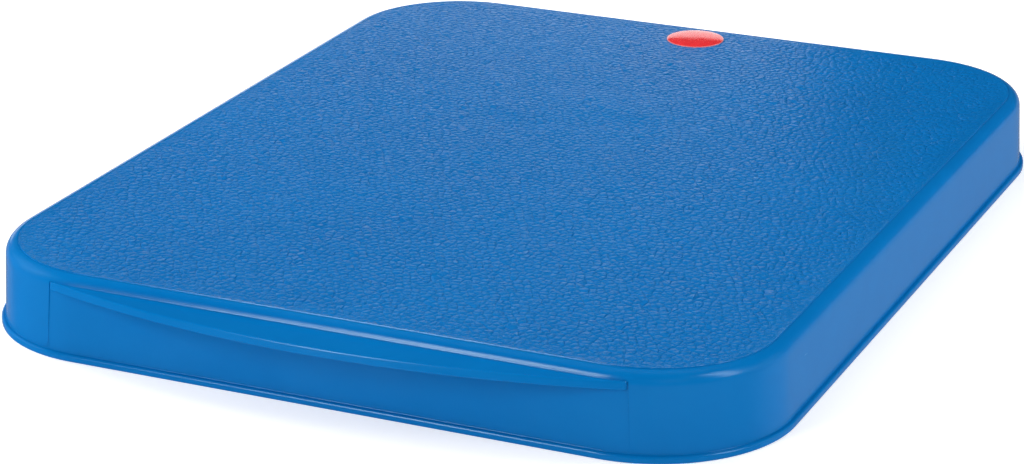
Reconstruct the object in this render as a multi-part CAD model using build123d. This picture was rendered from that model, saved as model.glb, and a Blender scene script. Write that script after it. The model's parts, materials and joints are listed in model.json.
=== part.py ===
from build123d import *
import os
from math import atan, degrees

# Moulded lid for a rectangular container, resting rim down on a flat surface.
# Origin: centre of the bounding box at the bottom rim face, +Z up.
# +Y points to the rear (badge side), -Y to the front (finger ledge side).

os.makedirs("parts", exist_ok=True)

# ---------------------------------------------------------------- dimensions, mm
# Skirt and panel
top_width = 400.0          # across the skirt at the top plane, along X
top_depth = 498.6          # across the skirt at the top plane, along Y
corner_radius = 65.0       # plan radius of the skirt corners at the top plane
lid_height = 41.6          # bottom rim face to the smooth border of the top
skirt_flare = 2.05         # the skirt leans outward by this much from top to bottom
edge_radius = 5.8          # rounded edge between skirt and top
wall_thickness = 2.3
panel_thickness = 2.5
inner_edge_radius = 3.4
centre_y = 9.0             # plan centre of the skirt, so that the ledge balances the box

# Grained panel, a very low raised field inside a smooth border
grain_inset = 5.95
grain_step = 0.2

# Bottom rim, an outward bead round the whole skirt
rim_offset = 4.0           # beyond the skirt's top outline
rim_height = 3.4
rim_edge_radius = 1.35
rim_foot_radius = 0.35
rim_crease_radius = 0.55

# Finger ledge at the front
ledge_half_length = 147.0
ledge_top = 37.6
ledge_bottom = 33.5
ledge_end_reach = 0.5      # beyond the skirt's top plane at the two ends
ledge_middle_reach = 22.0  # beyond the skirt's top plane in the middle
ledge_edge_radius = 0.6

# Insert field of the front wall, between two fine vertical witness lines
insert_half_top = 147.2
insert_half_bottom = 149.6
insert_depth = 0.3
insert_low = 5.0

# Gate vestige on the top
gate_x, gate_y = -8.0, 76.0
gate_dimple_radius = 3.2
gate_dimple_depth = 0.35
gate_nub_radius = 1.0
gate_nub_height = 0.2

# Underside: low stiffening ribs and centring gussets
rib_thickness = 1.5
rib_depth = 4.0
rib_x = 66.0
rib_y = 92.0
hub_radius = 16.0          # round rib under the gate
gusset_thickness = 1.6
gusset_reach = 3.2
gusset_low = 9.0

# Badge: a round domed label in a smooth seat near the rear edge
badge_x, badge_y = -2.0, 233.0
badge_radius = 16.4
seat_clearance = 0.4
seat_depth = 0.35
adhesive_thickness = 0.15
adhesive_inset = 0.5
film_thickness = 0.2
dome_height = 1.6

draft = degrees(atan(skirt_flare / lid_height))
panel_z = lid_height + grain_step


def plan(width, depth, radius, z):
    return Plane.XY.offset(z) * Pos(0, centre_y) * RectangleRounded(width, depth, radius)


# ---------------------------------------------------------------- lid shell
# Outer block: flares outward going down, with the top edge rounded over.
outer = extrude(plan(top_width, top_depth, corner_radius, lid_height),
                amount=lid_height, dir=(0, 0, -1), taper=-draft)
outer = fillet(outer.edges().group_by(Axis.Z)[-1], edge_radius)

# Rim bead, rounded on its outer edges, blended into the skirt above.
rim = extrude(plan(top_width + 2 * rim_offset, top_depth + 2 * rim_offset,
                   corner_radius + rim_offset, 0), amount=rim_height)
rim = fillet(rim.edges().group_by(Axis.Z)[-1], rim_edge_radius)
rim = fillet(rim.edges().group_by(Axis.Z)[0], rim_foot_radius)
body = outer + rim
crease = [e for e in body.edges()
          if abs(e.center().Z - rim_height) < 0.02
          and abs(e.bounding_box().size.Z) < 0.02]
inside_x = top_width / 2 + rim_offset - rim_edge_radius - 0.2
inside_y = top_depth / 2 + rim_offset - rim_edge_radius - 0.2


def on_skirt(edge):
    box = edge.bounding_box()
    reach_x = max(abs(box.min.X), abs(box.max.X))
    reach_y = max(abs(box.min.Y - centre_y), abs(box.max.Y - centre_y))
    return reach_x < inside_x and reach_y < inside_y


crease = [e for e in crease if on_skirt(e)]
body = fillet(crease, rim_crease_radius)

# Insert field: a very shallow step in the front wall that fades out downwards.
front = centre_y - top_depth / 2


def skirt_y(z):
    return front - skirt_flare * (1 - z / lid_height)


wedge = Plane.YZ * Polygon(
    (skirt_y(insert_low), insert_low),
    (skirt_y(ledge_top) + insert_depth, ledge_top - 0.2),
    (front - 12, ledge_top - 0.2),
    (front - 12, insert_low),
    align=None)
wedge = extrude(wedge, amount=insert_half_bottom + 10, both=True)
field = Plane.XZ * Polygon(
    (-insert_half_bottom, 0), (insert_half_bottom, 0),
    (insert_half_top, lid_height), (-insert_half_top, lid_height), align=None)
field = extrude(field, amount=400, both=True)
body = body - (wedge & field)

# Finger ledge: a flat lip of constant thickness, bowed forward in plan.
arc = ThreePointArc((-ledge_half_length, front - ledge_end_reach),
                    (0, front - ledge_middle_reach),
                    (ledge_half_length, front - ledge_end_reach))
back = Polyline((ledge_half_length, front - ledge_end_reach),
                (ledge_half_length, front + 1.4),
                (-ledge_half_length, front + 1.4),
                (-ledge_half_length, front - ledge_end_reach))
ledge = extrude(Plane.XY.offset(ledge_bottom) * make_face([arc, back]),
                amount=ledge_top - ledge_bottom)
front_edges = [e for e in ledge.edges() if e.geom_type == GeomType.CIRCLE]
ledge = fillet(front_edges, ledge_edge_radius)
body = body + ledge

# Hollow under the lid.
cavity_width = top_width - 2 * wall_thickness
cavity_depth = top_depth - 2 * wall_thickness
cavity_radius = corner_radius - wall_thickness
cavity_top = lid_height - panel_thickness
drop = skirt_flare * panel_thickness / lid_height
cavity = extrude(plan(cavity_width + 2 * drop, cavity_depth + 2 * drop,
                      cavity_radius + drop, cavity_top),
                 amount=cavity_top + 1.0, dir=(0, 0, -1), taper=-draft)
cavity = fillet(cavity.edges().group_by(Axis.Z)[-1], inner_edge_radius)
body = body - cavity

# Raised grained field.
panel = extrude(plan(top_width - 2 * grain_inset, top_depth - 2 * grain_inset,
                     corner_radius - grain_inset, lid_height - 0.8),
                amount=grain_step + 0.8)
body = body + panel

# Smooth seat for the badge.
seat = extrude(Plane.XY.offset(panel_z - seat_depth) * Pos(badge_x, badge_y)
               * Circle(badge_radius + seat_clearance), amount=2)
body = body - seat

# Gate vestige: a shallow round dimple with the broken nub in its middle.
dimple = extrude(Plane.XY.offset(panel_z - gate_dimple_depth) * Pos(gate_x, gate_y)
                 * Circle(gate_dimple_radius), amount=2)
nub = extrude(Plane.XY.offset(panel_z - gate_dimple_depth - 0.2) * Pos(gate_x, gate_y)
              * Circle(gate_nub_radius), amount=gate_nub_height + 0.2)
body = body - dimple + nub

root = cavity_top + 0.6

# Low ribs across the panel from skirt to skirt, and a round rib under the gate.
rib_low = cavity_top - rib_depth
rib_height = root - rib_low
span_x = cavity_width + 1.0
span_y = cavity_depth + 1.0
ribs = []
for x in (-rib_x, rib_x):
    ribs.append(Pos(x, centre_y, rib_low) * Box(
        rib_thickness, span_y, rib_height,
        align=(Align.CENTER, Align.CENTER, Align.MIN)))
for y in (centre_y - rib_y, centre_y + rib_y):
    ribs.append(Pos(0, y, rib_low) * Box(
        span_x, rib_thickness, rib_height,
        align=(Align.CENTER, Align.CENTER, Align.MIN)))
hub = extrude(Plane.XY.offset(rib_low) * Pos(gate_x, gate_y)
              * (Circle(hub_radius) - Circle(hub_radius - rib_thickness)),
              amount=rib_height)
for rib in ribs + [hub]:
    body = body + rib

# Centring gussets on the inside of the skirt.
gusset_spots = [(sx, y) for sx in (-1, 1)
                for y in (centre_y - 150, centre_y, centre_y + 150)]
for sx, y in gusset_spots:
    x_in = top_width / 2 - wall_thickness
    shape = Plane.XZ.offset(-y) * Polygon(
        (sx * (x_in + 1.0), root), (sx * (x_in - gusset_reach), root),
        (sx * (x_in - gusset_reach), gusset_low + 6),
        (sx * (x_in + 1.2), gusset_low), align=None)
    body = body + extrude(shape, amount=gusset_thickness / 2, both=True)
for sy, y_in in ((-1, centre_y - top_depth / 2 + wall_thickness),
                 (1, centre_y + top_depth / 2 - wall_thickness)):
    for x in (-100, 0, 100):
        shape = Plane.YZ.offset(x) * Polygon(
            (y_in + sy * 1.0, root), (y_in - sy * gusset_reach, root),
            (y_in - sy * gusset_reach, gusset_low + 6),
            (y_in + sy * 1.2, gusset_low), align=None)
        body = body + extrude(shape, amount=gusset_thickness / 2, both=True)

lid_shell = body.solid() if len(body.solids()) == 1 else body

# ---------------------------------------------------------------- badge
seat_z = panel_z - seat_depth
adhesive = extrude(Plane.XY.offset(seat_z) * Pos(badge_x, badge_y)
                   * Circle(badge_radius - adhesive_inset), amount=adhesive_thickness)
film_z = seat_z + adhesive_thickness
film = extrude(Plane.XY.offset(film_z) * Pos(badge_x, badge_y)
               * Circle(badge_radius), amount=film_thickness)
dome_z = film_z + film_thickness
# The clear dome stands on the film: a low upright edge, rounded over at the top.
dome = extrude(Plane.XY.offset(dome_z) * Pos(badge_x, badge_y)
               * Circle(badge_radius), amount=dome_height)
crown_radius = 0.9 * dome_height
dome = fillet(dome.edges().group_by(Axis.Z)[-1], crown_radius)

for name, solid in (("lid_shell", lid_shell), ("badge_adhesive", adhesive),
                    ("badge_film", film), ("badge_dome", dome)):
    solid.label = name
    export_step(solid, f"parts/{name}.step")
    box = solid.bounding_box()
    print(name, len(solid.solids()), "solid(s)", round(solid.volume, 1), box.min, box.max)
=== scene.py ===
import json
import math

import bmesh
import bpy
import numpy as np
from mathutils import Matrix, Vector
from mathutils.geometry import delaunay_2d_cdt

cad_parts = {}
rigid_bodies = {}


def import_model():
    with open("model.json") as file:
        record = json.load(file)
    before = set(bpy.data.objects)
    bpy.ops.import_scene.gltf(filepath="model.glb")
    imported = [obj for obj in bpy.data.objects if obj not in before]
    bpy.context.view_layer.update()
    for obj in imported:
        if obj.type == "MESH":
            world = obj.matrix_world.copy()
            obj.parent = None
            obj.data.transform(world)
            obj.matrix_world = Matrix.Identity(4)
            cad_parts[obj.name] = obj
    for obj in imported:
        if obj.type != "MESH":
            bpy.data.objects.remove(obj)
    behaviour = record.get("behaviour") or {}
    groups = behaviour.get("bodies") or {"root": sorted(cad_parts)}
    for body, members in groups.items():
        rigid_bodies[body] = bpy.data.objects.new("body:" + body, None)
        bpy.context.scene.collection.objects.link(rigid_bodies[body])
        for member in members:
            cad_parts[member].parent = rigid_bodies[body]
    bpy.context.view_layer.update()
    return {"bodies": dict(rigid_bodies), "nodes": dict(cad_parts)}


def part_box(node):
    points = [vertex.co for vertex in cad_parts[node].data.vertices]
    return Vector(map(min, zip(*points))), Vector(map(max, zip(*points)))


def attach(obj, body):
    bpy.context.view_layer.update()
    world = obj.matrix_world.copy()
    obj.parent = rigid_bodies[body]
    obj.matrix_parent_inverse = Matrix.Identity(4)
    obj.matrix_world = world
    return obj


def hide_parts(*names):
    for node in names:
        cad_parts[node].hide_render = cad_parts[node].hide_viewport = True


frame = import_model()
BODY = sorted(frame["bodies"])[0]
scene = bpy.context.scene
MM = 0.001

# ------------------------------------------------------------------ sizes, mm
shell_low, shell_high = [[v / MM for v in c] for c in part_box("lid_shell")]
dome_low, dome_high = [[v / MM for v in c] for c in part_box("badge_dome")]
film_low, film_high = [[v / MM for v in c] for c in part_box("badge_film")]
RIM = 4.0                                  # rim beyond the top outline
W = 2 * shell_high[0] - 2 * RIM            # skirt at the top plane
H = 41.6                                   # smooth border
D = 498.6
CY = shell_high[1] - RIM - D / 2           # plan centre in Y
R = 65.0                                   # plan corner radius
HX, HY = W / 2 - R, D / 2 - R              # corner centres
FLARE = 2.05
DRAFT = math.atan(FLARE / H)
EDGE_R = 6.8
WALL = 2.3
PANEL = 2.5
GRAIN_IN = 5.95
GRAIN_Z = H + 0.2
RIM_H = 3.4
LEDGE_X = 147.0
LEDGE_HI, LEDGE_LO = 37.6, 33.5
LEDGE_REACH = CY - D / 2 - shell_low[1]    # in the middle
LEDGE_END = 0.5
GATE = (-8.0, 76.0)
BADGE = ((dome_low[0] + dome_high[0]) / 2, (dome_low[1] + dome_high[1]) / 2)
BADGE_A, BADGE_B = (dome_high[0] - dome_low[0]) / 2, (dome_high[1] - dome_low[1]) / 2


def flare(z):
    return FLARE * (1 - z / H)


def witness(z):
    """Half distance between the two fine vertical lines of the front wall."""
    return 147.3 + 2.3 * (1 - z / H)


# ------------------------------------------------------------------ mesh helpers
def new_object(name, verts, faces, smooth_angle=38):
    mesh = bpy.data.meshes.new(name)
    mesh.from_pydata([tuple(c * MM for c in v) for v in verts], [], faces)
    mesh.validate()
    obj = bpy.data.objects.new(name, mesh)
    scene.collection.objects.link(obj)
    tidy(obj, smooth_angle)
    return obj


def tidy(obj, smooth_angle=38):
    bm = bmesh.new()
    bm.from_mesh(obj.data)
    bmesh.ops.recalc_face_normals(bm, faces=bm.faces)
    if bm.calc_volume(signed=True) < 0:
        bmesh.ops.reverse_faces(bm, faces=bm.faces)
    bm.to_mesh(obj.data)
    bm.free()
    obj.data.shade_smooth()
    obj.data.set_sharp_from_angle(angle=math.radians(smooth_angle))


def boolean(obj, tool, operation, smooth_angle=38):
    """obj with tool added or taken away; tool is removed afterwards."""
    mod = obj.modifiers.new("join", "BOOLEAN")
    mod.operation = operation
    mod.object = tool
    mod.solver = "MANIFOLD"
    dg = bpy.context.evaluated_depsgraph_get()
    made = bpy.data.meshes.new_from_object(obj.evaluated_get(dg), depsgraph=dg)
    if len(made.polygons) < 0.5 * len(obj.data.polygons):
        mod.solver = "EXACT"
        dg = bpy.context.evaluated_depsgraph_get()
        made = bpy.data.meshes.new_from_object(obj.evaluated_get(dg), depsgraph=dg)
    obj.modifiers.remove(mod)
    old = obj.data
    obj.data = made
    made.name = obj.name
    bpy.data.meshes.remove(old)
    bpy.data.objects.remove(tool)
    tidy(obj, smooth_angle)


# ------------------------------------------------------------------ lid moulding
tip = [LEDGE_X - d for d in (0.0, 0.12, 0.35, 0.7, 1.15, 1.7)]
LEDGE_COLS = np.array([*(-t for t in tip), *np.linspace(-LEDGE_X + 3.0, LEDGE_X - 3.0, 97), *tip[::-1]])
N_CORNER, N_SIDE, N_REAR = 30, 46, 36


def loop(o, z, recess=0.0):
    """One closed plan loop at offset o from the top outline, counterclockwise from above, starting at the left witness line."""
    r = R + o
    xw = witness(z)
    pts = []
    front_x = [-xw - 0.1, -xw + 0.1, *LEDGE_COLS, xw - 0.1, xw + 0.1]
    for x in front_x:
        rr = r - (recess if abs(x) < xw else 0.0)
        d = max(0.0, abs(x) - HX)
        pts.append((x, CY - HY - math.sqrt(rr * rr - d * d)))
    phi0 = math.asin((xw + 0.1 - HX) / r)
    for k in range(1, N_CORNER + 1):
        a = phi0 + (math.pi / 2 - phi0) * k / N_CORNER
        pts.append((HX + r * math.sin(a), CY - HY - r * math.cos(a)))
    for k in range(1, N_SIDE + 1):
        pts.append((HX + r, CY - HY + 2 * HY * k / N_SIDE))
    for k in range(1, N_CORNER + 1):
        a = math.pi / 2 * k / N_CORNER
        pts.append((HX + r * math.cos(a), CY + HY + r * math.sin(a)))
    for k in range(1, N_REAR + 1):
        pts.append((HX - 2 * HX * k / N_REAR, CY + HY + r))
    for k in range(1, N_CORNER + 1):
        a = math.pi / 2 * k / N_CORNER
        pts.append((-HX - r * math.sin(a), CY + HY + r * math.cos(a)))
    for k in range(1, N_SIDE + 1):
        pts.append((-HX - r, CY + HY - 2 * HY * k / N_SIDE))
    for k in range(1, N_CORNER):
        a = math.pi / 2 - (math.pi / 2 - phi0) * k / N_CORNER
        pts.append((-HX - r * math.sin(a), CY - HY - r * math.cos(a)))
    return [(x, y, z) for x, y in pts]


def arc_rings(oc, zc, r, a0, a1, n, recess=0.0):
    """Profile points on a circle about (oc, zc); angles in degrees from outward, towards +Z."""
    out = []
    for k in range(n + 1):
        a = math.radians(a0 + (a1 - a0) * k / n)
        out.append((oc + r * math.cos(a), zc + r * math.sin(a), recess))
    return out


def recess_at(z):
    return 0.18 + 0.26 * min(1.0, max(0.0, (z - 4.6) / 29.0))


draft_deg = math.degrees(DRAFT)
rings = []
under = H - PANEL
# underside of the panel, out to the inner edge and down the inside of the skirt
inner_r = 3.4
inner_zc = under - inner_r
inner_oc = -WALL + flare(inner_zc + inner_r * math.sin(DRAFT)) - inner_r * math.cos(DRAFT)
rings += [(inner_oc - 2.0, under, 0), (inner_oc - 0.6, under, 0)]
rings += arc_rings(inner_oc, inner_zc, inner_r, 90, draft_deg, 8)
for z in (34.6, 30, 24, 18, 12, 6, 1.2):
    rings.append((-WALL + flare(z), z, 0))
foot_in = -WALL + flare(0)
rings += arc_rings(foot_in + 0.3, 0.3, 0.3, 180, 270, 4)
# underside of the rim and its outer edge
rings += [(foot_in + 0.7, 0, 0), (RIM - 0.85, 0, 0)]
rings += arc_rings(RIM - 0.45, 0.45, 0.45, -90, 0, 4)
rings += [(RIM, 0.8, 0), (RIM, RIM_H - 1.65, 0)]
rings += arc_rings(RIM - 1.35, RIM_H - 1.35, 1.35, 0, 84, 9)
# concave blend from the rim's top into the skirt
blend_r = 0.40
blend_z = RIM_H + blend_r - 0.02
blend_o = flare(blend_z) + blend_r
rings += arc_rings(blend_o, blend_z, blend_r, 264, 180 + draft_deg, 5)
for z in (5.4, 8, 12, 17, 22, 27, 31.5, LEDGE_LO):
    rings.append((flare(z), z, recess_at(z)))
I_LO = len(rings) - 1
edge_zc = H - EDGE_R
edge_oc = flare(edge_zc + EDGE_R * math.sin(DRAFT)) - EDGE_R * math.cos(DRAFT)


def edge_profile(z):
    """Offset of the outer surface at height z, wall or rounded edge."""
    if z <= edge_zc + EDGE_R * math.sin(DRAFT):
        return flare(z)
    return edge_oc + math.sqrt(max(0.0, EDGE_R ** 2 - (z - edge_zc) ** 2))


for z in (35.2, 36.2, 36.9):
    rings.append((edge_profile(z), z, recess_at(z)))
rings.append((edge_profile(LEDGE_HI - 0.30), LEDGE_HI - 0.30, 0.0))
rings.append((edge_profile(LEDGE_HI), LEDGE_HI, 0.0))
I_HI = len(rings) - 2
start = math.degrees(math.asin((LEDGE_HI - edge_zc) / EDGE_R))
rings += arc_rings(edge_oc, edge_zc, EDGE_R, start, 81.5, 16)[1:]
rings += [(-GRAIN_IN + 0.06, H - 0.20, 0)]
# under the grained field the moulding drops into a pocket, which the field fills
rings += [(-GRAIN_IN - 0.4, H - 0.21, 0), (-GRAIN_IN - 1.2, H - 0.21, 0), (-GRAIN_IN - 1.3, H - 0.8, 0),
          (-GRAIN_IN - 2.2, H - 0.8, 0)]

verts, faces, ring_start = [], [], []
for o, z, rec in rings:
    ring_start.append(len(verts))
    verts += loop(o, z, rec)
P = len(verts) // len(rings)
C0, C1 = 2, 2 + len(LEDGE_COLS) - 1        # ledge columns
for i in range(len(rings) - 1):
    a, b = ring_start[i], ring_start[i + 1]
    for c in range(P):
        if I_LO <= i < I_HI and C0 <= c < C1:
            continue
        d = (c + 1) % P
        faces.append((a + c, a + d, b + d, b + c))
faces.append(tuple(range(P))[::-1])
faces.append(tuple(range(ring_start[-1], ring_start[-1] + P)))
# the wall behind the ledge has no surface of its own: drop its unused vertices later

# finger ledge, a strip of columns from the wall out to the bowed front edge and back
front_plane = CY - D / 2
sag = LEDGE_REACH - LEDGE_END
arc_R = (LEDGE_X ** 2 + sag ** 2) / (2 * sag)


def ledge_y(x):
    t = min(1.0, max(0.0, (abs(x) - LEDGE_X + 1.7) / 1.7))
    return front_plane - LEDGE_END - (math.sqrt(arc_R ** 2 - x * x) - (arc_R - sag)) + 1.2 * (1 - math.sqrt(1 - t * t))


rb, rt = 0.8, 0.8
strip = []
for n, x in enumerate(LEDGE_COLS):
    yf = ledge_y(x)
    lo_y = verts[ring_start[I_LO] + C0 + n][1]
    hi_y = verts[ring_start[I_HI] + C0 + n][1]
    prof = []
    for t in (0.04, 0.5):
        prof.append((lo_y + (yf + rb - lo_y) * t, LEDGE_LO))
    prof.append((yf + rb + 0.12 * min(1.0, abs(lo_y - yf) / 4), LEDGE_LO))
    for k in range(5):
        a = math.radians(270 - 90 * k / 4)
        prof.append((yf + rb + rb * math.cos(a), LEDGE_LO + rb + rb * math.sin(a)))
    prof.append((yf + 0.06, LEDGE_LO + rb + 0.25))
    prof.append((yf + 0.50, LEDGE_HI - rt - 0.25))
    for k in range(6):
        a = math.radians(168 - 78 * k / 5)
        prof.append((yf + 0.6 + rt + rt * math.cos(a), LEDGE_HI - rt + rt * math.sin(a)))
    prof.append((yf + 0.6 + rt + 0.15 * min(1.0, abs(hi_y - yf) / 4), LEDGE_HI))
    prof.append((hi_y + (yf + rt - hi_y) * 0.5, LEDGE_HI))
    gap = min(1.0, max(0.0, hi_y - yf - rt) / 2.0)
    prof.append((hi_y - 0.75 * gap - 0.02, LEDGE_HI))
    prof.append((hi_y - 0.30 * gap - 0.01, LEDGE_HI - 0.22))
    base = len(verts)
    verts += [(x, y, z) for y, z in prof]
    strip.append([ring_start[I_LO] + C0 + n, *range(base, base + len(prof)), ring_start[I_HI] + C0 + n])
for n in range(len(strip) - 1):
    s, t = strip[n], strip[n + 1]
    for k in range(len(s) - 1):
        faces.append((s[k], t[k], t[k + 1], s[k + 1]))
for col, s in ((C0, strip[0]), (C1, strip[-1])):
    wall_pts = [ring_start[i] + col for i in range(I_LO + 1, I_HI)]
    faces.append(tuple(s) + tuple(wall_pts[::-1]))

used = sorted({v for f in faces for v in f})
remap = {v: i for i, v in enumerate(used)}
verts = [verts[v] for v in used]
faces = [tuple(remap[v] for v in f) for f in faces]
moulding = new_object("lid_moulding", verts, faces, 32)


def rounded_bar(name, x0, x1, y0, y1, z0, z1, r=0.35, draft=0.0):
    """A closed bar that hangs down from z1 to z0, with rounded lower edges and a little draft."""
    bm = bmesh.new()
    bmesh.ops.create_cube(bm, size=1.0)
    for v in bm.verts:
        low = v.co.z < 0
        cx, cy = (x0 + x1) / 2, (y0 + y1) / 2
        hx, hy = (x1 - x0) / 2, (y1 - y0) / 2
        if low:
            hx, hy = hx - draft, hy - draft
        v.co = Vector((cx + math.copysign(hx, v.co.x), cy + math.copysign(hy, v.co.y), z0 if low else z1))
    low_edges = [e for e in bm.edges if all(abs(v.co.z - z0) < 1e-6 for v in e.verts)]
    bmesh.ops.bevel(bm, geom=low_edges, offset=r, segments=3, profile=0.5, affect="EDGES")
    bmesh.ops.scale(bm, vec=(MM, MM, MM), verts=bm.verts)
    mesh = bpy.data.meshes.new(name)
    bm.to_mesh(mesh)
    bm.free()
    obj = bpy.data.objects.new(name, mesh)
    scene.collection.objects.link(obj)
    return obj


def ring_bar(name, cx, cy, r_out, r_in, z0, z1, n=64):
    prof = [(r_in, z1), (r_in + 0.1, z0 + 0.35), (r_in + 0.4, z0), (r_out - 0.4, z0),
            (r_out - 0.1, z0 + 0.35), (r_out, z1)]
    v, f = [], []
    for k in range(n):
        a = 2 * math.pi * k / n
        v += [(cx + r * math.cos(a), cy + r * math.sin(a), z) for r, z in prof]
    m = len(prof)
    for k in range(n):
        a, b = k * m, ((k + 1) % n) * m
        for j in range(m):
            f.append((a + j, a + (j + 1) % m, b + (j + 1) % m, b + j))
    return new_object(name, v, f)


rib_low, rib_root = under - 4.0, under + 0.6
inner_x, inner_y = W / 2 - WALL, D / 2 - WALL
tools = []
for x in (-66.0, 66.0):
    tools.append(rounded_bar("rib", x - 0.8, x + 0.8, CY - inner_y - 0.6, CY + inner_y + 0.6, rib_low, rib_root, draft=0.15))
for y in (CY - 92.0, CY + 92.0):
    tools.append(rounded_bar("rib", -inner_x - 0.6, inner_x + 0.6, y - 0.8, y + 0.8, rib_low, rib_root, draft=0.15))
tools.append(ring_bar("hub", GATE[0], GATE[1], 16.0, 14.4, rib_low, rib_root))


def gusset(px, py, ux, uy):
    """A thin upright web on the inside of the skirt at (px, py), pointing inwards along (ux, uy)."""
    reach, half = 3.2, 0.8
    sx, sy = -uy, ux
    prof = [(-1.2, 9.0), (-0.1, 9.0), (reach - 0.5, 14.6), (reach, 15.4), (reach, rib_root), (0.9, rib_root), (-0.4, 35.0)]
    v = []
    for s in (-1, 1):
        for d, z in prof:
            h = half * s
            v.append((px + ux * d + sx * h, py + uy * d + sy * h, z))
    m = len(prof)
    f = [tuple(range(m)), tuple(range(2 * m - 1, m - 1, -1))]
    for k in range(m):
        j = (k + 1) % m
        f.append((k, k + m, j + m, j))
    return new_object("gusset", v, f)


for y in (CY - 150, CY, CY + 150):
    tools.append(gusset(-inner_x - flare(20), y, 1, 0))
    tools.append(gusset(inner_x + flare(20), y, -1, 0))
for x in (-100, 0, 100):
    tools.append(gusset(x, CY - inner_y - flare(20), 0, 1))
    tools.append(gusset(x, CY + inner_y + flare(20), 0, -1))
for tool in tools:
    boolean(moulding, tool, "UNION", 32)

# ------------------------------------------------------------------ grained field
rng = np.random.default_rng(20)
CELL = 4.25
FX, FY = W / 2 - GRAIN_IN, D / 2 - GRAIN_IN
FR = R - GRAIN_IN


def field_distance(x, y):
    """Distance inside the field's outline, positive inside."""
    qx, qy = np.abs(x) - (FX - FR), np.abs(y - CY) - (FY - FR)
    outside = np.hypot(np.maximum(qx, 0), np.maximum(qy, 0))
    inside = np.minimum(np.maximum(qx, qy), 0)
    return FR - outside - inside


def snap(x, y):
    """Nearest point on the field's outline."""
    dx, dy = x, y - CY
    ax, ay = abs(dx) - (FX - FR), abs(dy) - (FY - FR)
    sx, sy = math.copysign(1, dx), math.copysign(1, dy)
    if ax > 0 and ay > 0:
        d = math.hypot(ax, ay)
        return sx * (FX - FR + ax / d * FR), CY + sy * (FY - FR + ay / d * FR)
    if FX - abs(dx) < FY - abs(dy):
        return sx * FX, y
    return x, CY + sy * FY


def field_normal(x, y):
    """Outward direction at a point on the field's outline."""
    dx, dy = x, y - CY
    ax, ay = abs(dx) - (FX - FR), abs(dy) - (FY - FR)
    if ax > 1e-6 and ay > 1e-6:
        d = math.hypot(ax, ay)
        return math.copysign(ax / d, dx), math.copysign(ay / d, dy)
    if FX - abs(dx) < FY - abs(dy):
        return math.copysign(1.0, dx), 0.0
    return 0.0, math.copysign(1.0, dy)


step_y = CELL * math.sqrt(3) / 2
seeds = []
for j in range(int(-FY / step_y) - 4, int(FY / step_y) + 5):
    for i in range(int(-FX / CELL) - 4, int(FX / CELL) + 5):
        seeds.append(((i + 0.5 * (j % 2)) * CELL, CY + j * step_y))
seeds = np.array(seeds)
seeds += rng.uniform(-0.43, 0.43, seeds.shape) * CELL
dt = delaunay_2d_cdt([Vector(p) for p in seeds], [], [], 0, 1e-5)
pts = np.array([tuple(v) for v in dt[0]])
tris = np.array(dt[2])
A, B, C_ = pts[tris[:, 0]], pts[tris[:, 1]], pts[tris[:, 2]]
den = 2 * (A[:, 0] * (B[:, 1] - C_[:, 1]) + B[:, 0] * (C_[:, 1] - A[:, 1]) + C_[:, 0] * (A[:, 1] - B[:, 1]))
a2, b2, c2 = (A ** 2).sum(1), (B ** 2).sum(1), (C_ ** 2).sum(1)
cc = np.c_[(a2 * (B[:, 1] - C_[:, 1]) + b2 * (C_[:, 1] - A[:, 1]) + c2 * (A[:, 1] - B[:, 1])) / den,
           (a2 * (C_[:, 0] - B[:, 0]) + b2 * (A[:, 0] - C_[:, 0]) + c2 * (B[:, 0] - A[:, 0])) / den]
owner = tris.ravel()
corner = np.repeat(np.arange(len(tris)), 3)
ang = np.arctan2(cc[corner, 1] - pts[owner, 1], cc[corner, 0] - pts[owner, 0])
order = np.lexsort((ang, owner))
owner, corner = owner[order], corner[order]
cuts = np.flatnonzero(np.diff(owner)) + 1
groups = np.split(corner, cuts)
keep_in = field_distance(cc[:, 0], cc[:, 1])

planes = [(1, 0, FX), (-1, 0, FX), (0, 1, FY + CY), (0, -1, FY - CY)]
for sx in (-1, 1):
    for sy in (-1, 1):
        for k in range(1, 45):
            a = math.pi / 2 * k / 45
            nx, ny = sx * math.cos(a), sy * math.sin(a)
            planes.append((nx, ny, nx * sx * (FX - FR) + ny * (CY + sy * (FY - FR)) + FR))


def clip(poly):
    for nx, ny, d in planes:
        side = [nx * x + ny * y - d for x, y in poly]
        if max(side) <= 1e-9:
            continue
        out = []
        for k in range(len(poly)):
            p, q = poly[k], poly[(k + 1) % len(poly)]
            sp, sq = side[k], side[(k + 1) % len(poly)]
            if sp <= 0:
                out.append(p)
            if (sp < 0 < sq) or (sq < 0 < sp):
                if p > q:
                    p, q, sp, sq = q, p, sq, sp
                t = sp / (sp - sq)
                out.append((p[0] + (q[0] - p[0]) * t, p[1] + (q[1] - p[1]) * t))
        poly = out
        if len(poly) < 3:
            return []
    return poly


cells = []
for g in groups:
    inside = keep_in[g]
    if inside.max() < -3 * CELL:
        continue
    poly = [tuple(cc[k]) for k in g]
    if inside.min() < 0:
        if max(abs(p[0]) for p in poly) > FX + 30 or max(abs(p[1] - CY) for p in poly) > FY + 30:
            continue
        poly = clip(poly)
    if len(poly) >= 3:
        cells.append(poly)

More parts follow.
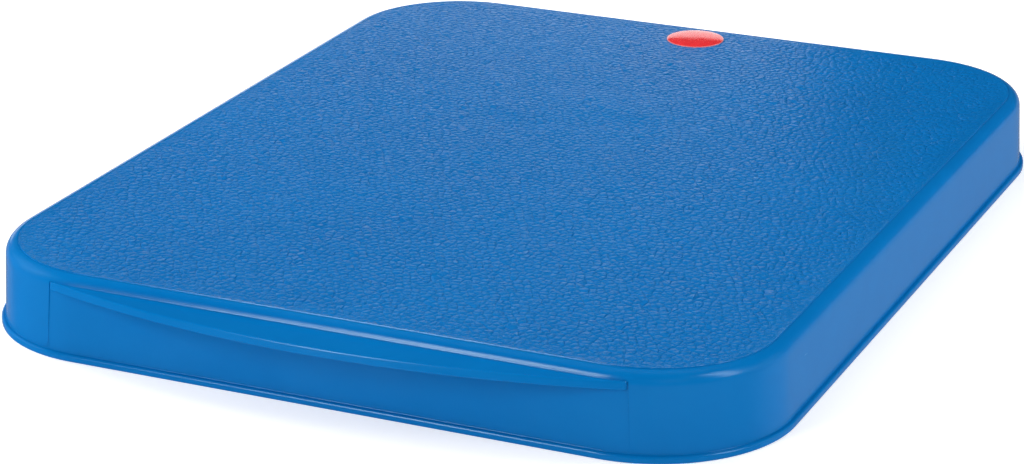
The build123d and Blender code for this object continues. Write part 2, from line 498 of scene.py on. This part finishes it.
# weld shared corners and drop the shortest crease pieces
bm = bmesh.new()
grid = {}
for poly in cells:
    ring = []
    for x, y in poly:
        key = (round(x, 4), round(y, 4))
        if key not in grid:
            grid[key] = bm.verts.new((x, y, 0))
        v = grid[key]
        if not ring or (v is not ring[-1] and v is not ring[0]):
            ring.append(v)
    if len(ring) >= 3:
        try:
            bm.faces.new(ring)
        except ValueError:
            pass
bmesh.ops.remove_doubles(bm, verts=bm.verts, dist=0.42)
rim_verts = set()
for e in bm.edges:
    if len(e.link_faces) == 1:
        rim_verts.update(e.verts)
for v in rim_verts:
    v.co.x, v.co.y = snap(v.co.x, v.co.y)
bm.verts.index_update()
base_xy = np.array([(v.co.x, v.co.y) for v in bm.verts])
on_rim = np.zeros(len(base_xy), bool)
for v in rim_verts:
    on_rim[v.index] = True
polys = [[v.index for v in f.verts] for f in bm.faces]
rim_edges = [(e.verts[0].index, e.verts[1].index) for e in bm.edges if len(e.link_faces) == 1]
bm.free()


def smoothstep(a, b, x):
    t = np.clip((x - a) / (b - a), 0, 1)
    return t * t * (3 - 2 * t)


def waves(x, y, seed, n=10, low=60.0, high=220.0):
    """A smooth random surface, about -1 to 1."""
    g = np.random.default_rng(seed)
    total = np.zeros_like(x, dtype=float)
    for _ in range(n):
        a, ph = g.uniform(0, 2 * math.pi), g.uniform(0, 2 * math.pi)
        wl = g.uniform(low, high)
        total += np.sin(2 * math.pi * (x * math.cos(a) + y * math.sin(a)) / wl + ph)
    return total / math.sqrt(n) / 1.4


GATE_SINK = 0.0
PANEL_WAVE = 0.0
# melt flow marks about the gate: very low swells, as x, y, half widths, slope
GATE_FLOW = [(GATE[0] - 34, GATE[1] - 10, 30, 15, 0.055), (GATE[0] + 16, GATE[1] + 8, 26, 15, 0.055),
             (GATE[0] - 8, GATE[1] + 40, 24, 18, -0.020)]


def panel_shape(x, y):
    """Slow shape of the moulded panel: nearly flat, drawn in a little about the gate."""
    inner = smoothstep(2, 45, field_distance(x, y))
    r = np.hypot(x - GATE[0], y - GATE[1])
    total = -GATE_SINK * np.exp(-r / 45.0) + PANEL_WAVE * waves(x, y, 5)
    for px, py, wx, wy, slope in GATE_FLOW:
        total = total + slope * (y - py) * np.exp(-((x - px) / wx) ** 2 - ((y - py) / wy) ** 2)
    return inner * total


CREASE = 0.47
depth_noise = 0.90 + 0.16 * waves(base_xy[:, 0], base_xy[:, 1], 11, 14, 9.0, 30.0)
calm = 0.45 + 0.55 * smoothstep(0.5, 14, field_distance(base_xy[:, 0], base_xy[:, 1]))
depth = CREASE * np.clip(depth_noise, 0.15, 1.15) * calm * rng.uniform(0.60, 1.1, len(base_xy))
depth[on_rim] = 0
top_z = GRAIN_Z + panel_shape(base_xy[:, 0], base_xy[:, 1])
gverts = [(x, y, z) for (x, y), z in zip(base_xy, top_z - depth)]
gfaces = []
tilt = rng.normal(0, 1, (len(polys), 2))
lift = rng.uniform(-0.028, 0.028, len(polys))
for n, poly in enumerate(polys):
    c = base_xy[poly].mean(0)
    start_v = len(gverts)
    inset_xy = []
    for k in poly:
        p = base_xy[k]
        dvec = p - c
        dist = float(np.hypot(*dvec))
        w = 0.0 if dist < 1e-6 else min(0.80, 0.44 * dist) / dist
        inset_xy.append(c + dvec * (1 - w))
    inset_xy = np.array(inset_xy)
    z = GRAIN_Z + panel_shape(inset_xy[:, 0], inset_xy[:, 1])
    slope = (inset_xy - c) @ tilt[n] * 0.014
    fade = 0.45 + 0.55 * float(smoothstep(0.5, 14, field_distance(c[0], c[1])))
    z = z + np.clip((slope + lift[n]) * fade, -0.07, 0.04)
    gverts += [(p[0], p[1], zz) for p, zz in zip(inset_xy, z)]
    m = len(poly)
    gfaces.append(tuple(range(start_v, start_v + m)))
    for k in range(m):
        j = (k + 1) % m
        gfaces.append((poly[k], poly[j], start_v + j, start_v + k))
# rounded outer edge of the field: rings outwards and down from its last row
EDGE_RINGS = [(0.32, 0.05), (0.20, 0.02), (0.01, -0.36), (0.0, -0.40), (0.0, -1.0)]
ring_of = []
for v in np.flatnonzero(on_rim):
    x, y = base_xy[v]
    ox, oy = field_normal(x, y)
    gverts[v] = (x - ox * 0.50, y - oy * 0.50, GRAIN_Z + 0.035)
    for n, (inward, drop) in enumerate(EDGE_RINGS):
        if len(ring_of) <= n:
            ring_of.append({})
        ring_of[n][int(v)] = len(gverts)
        gverts.append((x - ox * inward, y - oy * inward, GRAIN_Z + drop))
after = {}
for a, b in rim_edges:
    after.setdefault(a, []).append(b)
    after.setdefault(b, []).append(a)
for a, b in rim_edges:
    chain_a = [a] + [ring[a] for ring in ring_of]
    chain_b = [b] + [ring[b] for ring in ring_of]
    for n in range(len(ring_of)):
        gfaces.append((chain_a[n], chain_b[n], chain_b[n + 1], chain_a[n + 1]))
low_of = ring_of[-1]
first = rim_edges[0][0]
loop_ids, prev, cur = [first], None, first
while True:
    nxt = [v for v in after[cur] if v != prev]
    step = nxt[0]
    if step == first:
        break
    loop_ids.append(step)
    prev, cur = cur, step
gfaces.append(tuple(low_of[v] for v in loop_ids))
field = new_object("lid_grain_field", gverts, gfaces, 40)


def oval(name, cx, cy, a, b, z0, z1, n=120):
    v = [(cx + a * math.cos(2 * math.pi * k / n), cy + b * math.sin(2 * math.pi * k / n), z)
         for z in (z0, z1) for k in range(n)]
    f = [tuple(range(n))[::-1], tuple(range(n, 2 * n))]
    for k in range(n):
        j = (k + 1) % n
        f.append((k, j, j + n, k + n))
    return new_object(name, v, f)


def lathe(name, cx, cy, profile, n=64, sx=1.0, sy=1.0, smooth_angle=38):
    """A closed turned solid about the vertical through (cx, cy); profile runs from the axis out and back to it."""
    v, f = [(cx, cy, profile[0][1])], []
    body = profile[1:-1]
    for r, z in body:
        for k in range(n):
            a = 2 * math.pi * k / n
            v.append((cx + sx * r * math.cos(a), cy + sy * r * math.sin(a), z))
    v.append((cx, cy, profile[-1][1]))
    for k in range(n):
        f.append((0, 1 + (k + 1) % n, 1 + k))
    for i in range(len(body) - 1):
        a, b = 1 + i * n, 1 + (i + 1) * n
        for k in range(n):
            j = (k + 1) % n
            f.append((a + k, a + j, b + j, b + k))
    last = 1 + (len(body) - 1) * n
    for k in range(n):
        f.append((last + k, last + (k + 1) % n, len(v) - 1))
    return new_object(name, v, f, smooth_angle)


seat_z = film_low[2] - 0.15
boolean(field, oval("seat", *BADGE, BADGE_A + 0.3, BADGE_B + 0.3, seat_z, H + 3), "DIFFERENCE", 40)
gz = GRAIN_Z + float(panel_shape(np.array(GATE[0]), np.array(GATE[1])))
dimple = lathe("dimple", *GATE, [(0, gz - 0.34), (0.5, gz - 0.34), (1.0, gz - 0.33), (1.6, gz - 0.29), (2.3, gz - 0.17),
                                 (3.0, gz + 0.02), (3.4, gz + 0.2), (3.4, gz + 1.0), (0, gz + 1.0)], 48)
boolean(field, dimple, "DIFFERENCE", 40)
nub = lathe("nub", *GATE, [(0, gz - 0.5), (0.8, gz - 0.5), (0.85, gz - 0.3), (0.8, gz - 0.2), (0.6, gz - 0.12),
                           (0.3, gz - 0.14), (0, gz - 0.16)], 32)
boolean(field, nub, "UNION", 40)

# ------------------------------------------------------------------ badge
film_z0, film_z1 = film_low[2], film_high[2]
film = lathe("badge_printed_film", *BADGE,
             [(0, film_z0), (0.5, film_z0), (0.995, film_z0), (1.0, film_z0 + 0.03), (1.0, film_z1 - 0.05),
              (0.996, film_z1 - 0.015), (0.99, film_z1), (0.9, film_z1), (0.5, film_z1), (0, film_z1)],
             128, BADGE_A, BADGE_B)
dome_z0, dome_z1 = film_z1 - 0.02, dome_high[2]
prof = [(0, dome_z0), (0.5, dome_z0), (0.985, dome_z0), (0.995, dome_z0 + 0.02)]
for k in range(0, 25):
    s = math.sin(math.pi / 2 * (1 - k / 24.0))
    height = (1 - s ** 2.3) ** 0.72 if s < 1 else 0.0
    if k == 0:
        prof.append((1.0, dome_z0 + 0.12))
    elif k == 24:
        prof.append((0, dome_z1))
    else:
        prof.append((s, dome_z0 + 0.12 + (dome_z1 - dome_z0 - 0.12) * height))
dome = lathe("badge_clear_dome", *BADGE, prof, 128, BADGE_A, BADGE_B, 60)


# ------------------------------------------------------------------ materials
class Nodes:
    """A small helper that builds one node material."""

    def __init__(self, name):
        self.mat = bpy.data.materials.new(name)
        self.mat.use_nodes = True
        self.t = self.mat.node_tree
        self.t.nodes.clear()
        self.out = self.t.nodes.new("ShaderNodeOutputMaterial")
        self.bsdf = self.t.nodes.new("ShaderNodeBsdfPrincipled")
        self.t.links.new(self.bsdf.outputs[0], self.out.inputs["Surface"])
        coord = self.t.nodes.new("ShaderNodeTexCoord")
        self.place = coord.outputs["Object"]

    def link(self, value, socket):
        if hasattr(value, "is_linked"):
            self.t.links.new(value, socket)
        else:
            socket.default_value = value

    def math(self, op, a, b=None, c=None, clamp=False):
        n = self.t.nodes.new("ShaderNodeMath")
        n.operation = op
        n.use_clamp = clamp
        for i, v in enumerate((a, b, c)):
            if v is not None:
                self.link(v, n.inputs[i])
        return n.outputs[0]

    def scaled(self, s, vector=None):
        n = self.t.nodes.new("ShaderNodeVectorMath")
        n.operation = "MULTIPLY"
        self.t.links.new(vector or self.place, n.inputs[0])
        n.inputs[1].default_value = s if isinstance(s, tuple) else (s, s, s)
        return n.outputs[0]

    def noise(self, scale, detail=3.0, rough=0.5, vector=None, distortion=0.0):
        n = self.t.nodes.new("ShaderNodeTexNoise")
        n.inputs["Scale"].default_value = scale
        n.inputs["Detail"].default_value = detail
        n.inputs["Roughness"].default_value = rough
        n.inputs["Distortion"].default_value = distortion
        self.t.links.new(vector or self.place, n.inputs["Vector"])
        return n.outputs

    def voronoi(self, scale, feature="F1", vector=None, rand=1.0):
        n = self.t.nodes.new("ShaderNodeTexVoronoi")
        n.feature = feature
        n.inputs["Scale"].default_value = scale
        n.inputs["Randomness"].default_value = rand
        self.t.links.new(vector or self.place, n.inputs["Vector"])
        return n.outputs

    def ramp(self, value, stops, smooth=False):
        n = self.t.nodes.new("ShaderNodeValToRGB")
        n.color_ramp.interpolation = "EASE" if smooth else "LINEAR"
        while len(n.color_ramp.elements) < len(stops):
            n.color_ramp.elements.new(0.5)
        for el, (p, c) in zip(n.color_ramp.elements, stops):
            el.position = p
            el.color = (*c, 1) if len(c) == 3 else c
        self.link(value, n.inputs[0])
        return n.outputs[0]

    def mix(self, fac, a, b):
        n = self.t.nodes.new("ShaderNodeMix")
        n.data_type = "RGBA"
        self.link(fac, n.inputs["Factor"])
        self.link((*a, 1) if isinstance(a, tuple) and len(a) == 3 else a, n.inputs["A"])
        self.link((*b, 1) if isinstance(b, tuple) and len(b) == 3 else b, n.inputs["B"])
        return n.outputs["Result"]

    def map(self, value, a, b, c, d):
        n = self.t.nodes.new("ShaderNodeMapRange")
        n.inputs["From Min"].default_value = a
        n.inputs["From Max"].default_value = b
        n.inputs["To Min"].default_value = c
        n.inputs["To Max"].default_value = d
        self.link(value, n.inputs["Value"])
        return n.outputs["Result"]

    def bump(self, height, distance, strength=1.0, normal=None):
        n = self.t.nodes.new("ShaderNodeBump")
        n.inputs["Strength"].default_value = strength
        n.inputs["Distance"].default_value = distance
        self.link(height, n.inputs["Height"])
        if normal is not None:
            self.t.links.new(normal, n.inputs["Normal"])
        return n.outputs[0]

    def set(self, **values):
        for key, value in values.items():
            self.link(value, self.bsdf.inputs[key.replace("_", " ")])
        return self.mat


BLUE = (0.0008, 0.163, 0.478)
BLUE_DEEP = (0.0006, 0.150, 0.450)


def smooth_plastic():
    n = Nodes("blue_polypropylene_satin")
    cloud = n.noise(14.0, 3.0, 0.55)[0]
    flow = n.noise(60.0, 4.0, 0.6, distortion=0.6)[0]
    tone = n.math("ADD", n.math("MULTIPLY", cloud, 0.65), n.math("MULTIPLY", flow, 0.35))
    colour = n.mix(n.map(tone, 0.35, 0.65, 0, 1), BLUE_DEEP, BLUE)
    # moulded satin finish: slow ripple, fine texture, and a few faint rubbing marks
    ripple = n.noise(45.0, 2.0, 0.5)[0]
    fine = n.noise(1900.0, 2.0, 0.6)[0]
    rub = n.noise(1.0, 4.0, 0.65, vector=n.scaled((35.0, 35.0, 420.0)))[0]
    rubbed = n.map(rub, 0.60, 0.74, 0.0, 1.0)
    rough = n.math("ADD", n.map(cloud, 0.3, 0.7, 0.17, 0.22), n.math("MULTIPLY", rubbed, 0.07))
    first = n.bump(ripple, 0.00022, 0.5)
    second = n.bump(fine, 0.000012, 0.6, first)
    return n.set(Base_Color=colour, Roughness=rough, IOR=1.49, Specular_IOR_Level=0.36,
                 Specular_Tint=(0.74, 0.94, 1.0, 1), Normal=second)


def grained_plastic():
    n = Nodes("blue_polypropylene_leather_grain")
    cloud = n.noise(14.0, 3.0, 0.55)[0]
    warp = n.t.nodes.new("ShaderNodeVectorMath")
    warp.operation = "MULTIPLY_ADD"
    n.t.links.new(n.noise(260.0, 2.0, 0.5)[1], warp.inputs[0])
    warp.inputs[1].default_value = (0.0016, 0.0016, 0.0016)
    n.t.links.new(n.place, warp.inputs[2])
    cells = n.voronoi(440.0, "DISTANCE_TO_EDGE", warp.outputs[0])[0]
    small = n.map(cells, 0.0, 0.24, 0.0, 1.0)
    patches = n.map(n.noise(220.0, 2.0, 0.5)[0], 0.36, 0.56, 0.35, 1.0)
    wrinkle = n.math("MULTIPLY", n.math("SUBTRACT", 1.0, small), patches)
    pores = n.noise(1500.0, 3.0, 0.6)[0]
    colour = n.mix(n.map(cloud, 0.35, 0.65, 0, 1), BLUE_DEEP, BLUE)
    # darker blue in the fine creases: painted shade for the shade that falls in them; the same crease mask also drives
    # roughness and bump
    colour = n.mix(n.math("MULTIPLY", wrinkle, 0.42), colour, (0.0014, 0.120, 0.385))
    rough = n.math("ADD", n.map(cloud, 0.3, 0.7, 0.28, 0.33), n.math("MULTIPLY", wrinkle, 0.08))
    first = n.bump(n.math("SUBTRACT", 1.0, wrinkle), 0.00022, 0.9)
    second = n.bump(pores, 0.00004, 0.6, first)
    return n.set(Base_Color=colour, Roughness=rough, IOR=1.49, Specular_IOR_Level=0.36,
                 Specular_Tint=(0.74, 0.94, 1.0, 1), Normal=second)


def film_print_and_painted_light():
    n = Nodes("badge_red_print_and_painted_light")
    mapping = n.t.nodes.new("ShaderNodeMapping")
    mapping.vector_type = "TEXTURE"
    mapping.inputs["Location"].default_value = (BADGE[0] * MM, BADGE[1] * MM, 0)
    mapping.inputs["Scale"].default_value = (BADGE_A * MM, BADGE_B * MM, 1.0)
    n.t.links.new(n.place, mapping.inputs["Vector"])
    flat = n.scaled((1.0, 1.0, 0.0), mapping.outputs[0])
    length = n.t.nodes.new("ShaderNodeVectorMath")
    length.operation = "LENGTH"
    n.t.links.new(flat, length.inputs[0])
    dots = n.noise(2600.0, 2.0, 0.5)[0]
    red = n.mix(n.map(dots, 0.3, 0.7, 0.0, 1.0), (0.92, 0.045, 0.055), (0.96, 0.060, 0.070))
    # pale ring at the film's edge: painted highlight for the bright rim of the clear dome
    colour = n.mix(n.map(length.outputs["Value"], 0.955, 0.985, 0.0, 1.0), red, (0.84, 0.42, 0.43))
    rough = n.map(dots, 0.3, 0.7, 0.30, 0.40)
    # the red emission makes the printed film glow a little: painted light, making up for light the clear dome holds
    # back
    return n.set(Base_Color=colour, Roughness=rough, Normal=n.bump(dots, 0.000006, 0.5),
                 Emission_Color=(1.0, 0.035, 0.045, 1), Emission_Strength=0.17)


def clear_dome():
    n = Nodes("badge_clear_resin")
    soft = n.noise(160.0, 2.0, 0.5)[0]
    rough = n.map(soft, 0.3, 0.7, 0.12, 0.17)
    return n.set(Base_Color=(0.97, 0.97, 0.97, 1), Roughness=rough, IOR=1.50, Specular_IOR_Level=0.40, Transmission_Weight=1.0,
                 Normal=n.bump(soft, 0.00002, 0.4))


def adhesive_pad():
    n = Nodes("badge_adhesive_pad")
    fibres = n.noise(900.0, 4.0, 0.65)[0]
    colour = n.mix(n.map(fibres, 0.3, 0.7, 0, 1), (0.62, 0.62, 0.60), (0.78, 0.78, 0.76))
    return n.set(Base_Color=colour, Roughness=n.map(fibres, 0.3, 0.7, 0.5, 0.7),
                 Normal=n.bump(fibres, 0.00002, 0.5))


def dress(obj, material):
    obj.data.materials.clear()
    obj.data.materials.append(material)


satin = smooth_plastic()
dress(moulding, satin)
dress(field, grained_plastic())
field.data.materials.append(satin)
for poly in field.data.polygons:
    if field_distance(poly.center.x / MM, poly.center.y / MM) < 0.27:
        poly.material_index = 1
dress(film, film_print_and_painted_light())
dress(dome, clear_dome())
adhesive = frame["nodes"]["badge_adhesive"]
adhesive_material = adhesive_pad()
if len(adhesive.material_slots) == 0:
    adhesive.data.materials.append(adhesive_material)
for s in adhesive.material_slots:
    s.material = adhesive_material

for obj, node, slot in ((moulding, "lid_shell", "shell"), (field, "lid_shell", "shell"),
                        (film, "badge_film", "badge_film"), (dome, "badge_dome", "badge_dome")):
    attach(obj, BODY)
    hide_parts(node)

# ------------------------------------------------------------------ floor, light, camera
ROOM, ROOM_LOW = 0.015, 0.01
floor_mesh = bpy.data.meshes.new("studio_floor")
floor_mesh.from_pydata([(-6, -6, 0), (6, -6, 0), (6, 6, 0), (-6, 6, 0)], [], [(0, 1, 2, 3)])
floor = bpy.data.objects.new("studio_floor", floor_mesh)
floor.location.z = -0.0001
scene.collection.objects.link(floor)
fm = Nodes("studio_floor_paper")
fibre = fm.noise(900.0, 3.0, 0.6)[0]
dress(floor, fm.set(Base_Color=fm.mix(fm.map(fibre, 0.3, 0.7, 0, 1), (0.74, 0.74, 0.74), (0.77, 0.77, 0.77)),
                    Roughness=0.85, Normal=fm.bump(fibre, 0.00002, 0.3),
                    Emission_Color=(1, 1, 1, 1), Emission_Strength=0.48))

# the studio: a dim room, pale low down behind the object, with soft boxes and cards
world = bpy.data.worlds.new("studio")
scene.world = world
world.use_nodes = True
wt = world.node_tree
wt.nodes.clear()
wo = wt.nodes.new("ShaderNodeOutputWorld")
bg = wt.nodes.new("ShaderNodeBackground")
direction = wt.nodes.new("ShaderNodeSeparateXYZ")
wt.links.new(wt.nodes.new("ShaderNodeTexCoord").outputs["Generated"], direction.inputs[0])


def world_range(value, a, b, c, d):
    n = wt.nodes.new("ShaderNodeMapRange")
    n.interpolation_type = "SMOOTHSTEP"
    for key, number in (("From Min", a), ("From Max", b), ("To Min", c), ("To Max", d)):
        n.inputs[key].default_value = number
    wt.links.new(value, n.inputs["Value"])
    return n.outputs["Result"]


def world_math(op, a, b):
    n = wt.nodes.new("ShaderNodeMath")
    n.operation = op
    for i, v in enumerate((a, b)):
        if isinstance(v, float):
            n.inputs[i].default_value = v
        else:
            wt.links.new(v, n.inputs[i])
    return n.outputs[0]


below = world_range(direction.outputs["Z"], -0.03, 0.03, 1.0, 0.0)
behind = world_range(direction.outputs["Y"], 0.1, 0.6, 0.0, 1.0)
paper = world_math("ADD", world_math("MULTIPLY", behind, 0.26), 0.02)
sky = world_math("ADD", world_range(direction.outputs["Z"], 0.20, 0.50, ROOM_LOW, 0.0), ROOM)
strength = world_math("ADD", world_math("MULTIPLY", below, paper),
                      world_math("MULTIPLY", world_math("SUBTRACT", 1.0, below), sky))
bg.inputs["Color"].default_value = (1, 1, 1, 1)
wt.links.new(strength, bg.inputs["Strength"])
wt.links.new(bg.outputs[0], wo.inputs[0])
floor.visible_glossy = False


def softbox(name, location, target, size_x, size_y, radiance, reflected=True, colour=(1, 1, 1)):
    light = bpy.data.lights.new(name, "AREA")
    light.shape = "RECTANGLE"
    light.size, light.size_y = size_x, size_y
    light.energy = radiance * 4 * size_x * size_y
    light.color = colour
    obj = bpy.data.objects.new(name, light)
    obj.location = location
    look = Vector(target) - Vector(location)
    obj.rotation_euler = look.to_track_quat("-Z", "Y").to_euler()
    obj.visible_camera = False
    obj.visible_glossy = reflected
    scene.collection.objects.link(obj)
    return obj


softbox("front_left", (-0.60, -1.52, 0.80), (0, -0.24, 0.04), 0.34, 0.95, 10.0)
softbox("right_tall", (1.41, -0.29, 0.98), (0.17, -0.2, 0.04), 0.40, 1.15, 4.3)
softbox("front_right", (1.0, -1.5, 1.0), (0, -0.2, 0.04), 0.8, 0.8, 1.2, False)
softbox("left", (-1.6, -0.1, 0.7), (0, 0, 0.04), 1.4, 1.0, 4.8, False)
softbox("right_rear", (1.3, 0.5, 0.38), (0.2, 0, 0.02), 1.2, 0.7, 2.6, False)
softbox("overhead", (-0.1, 0.22, 1.45), (0, 0, 0), 1.4, 0.9, 2.05, False)
softbox("back_card", (-0.505, 0.46, 0.070), (-0.505, 0, 0.070), 1.0, 0.12, 1.12)

cam_data = bpy.data.cameras.new("camera")
cam = bpy.data.objects.new("camera", cam_data)
scene.collection.objects.link(cam)
scene.camera = cam
cam_data.sensor_fit = "HORIZONTAL"
cam_data.sensor_width = 36.0
cam_data.lens = 114.028
cam_data.clip_start, cam_data.clip_end = 0.05, 50.0
az, el = math.radians(23.9956), math.radians(20.6425)
back = Vector((math.sin(az) * math.cos(el), -math.cos(az) * math.cos(el), math.sin(el)))
right = Vector((math.cos(az), math.sin(az), 0))
up = back.cross(right)
rot = Matrix((right, up, back)).transposed().to_4x4()
rot.translation = Vector((0.632624, -1.462940 + CY * MM, 0.599892))
cam.matrix_world = rot

scene.view_settings.view_transform = "Standard"
scene.view_settings.look = "None"
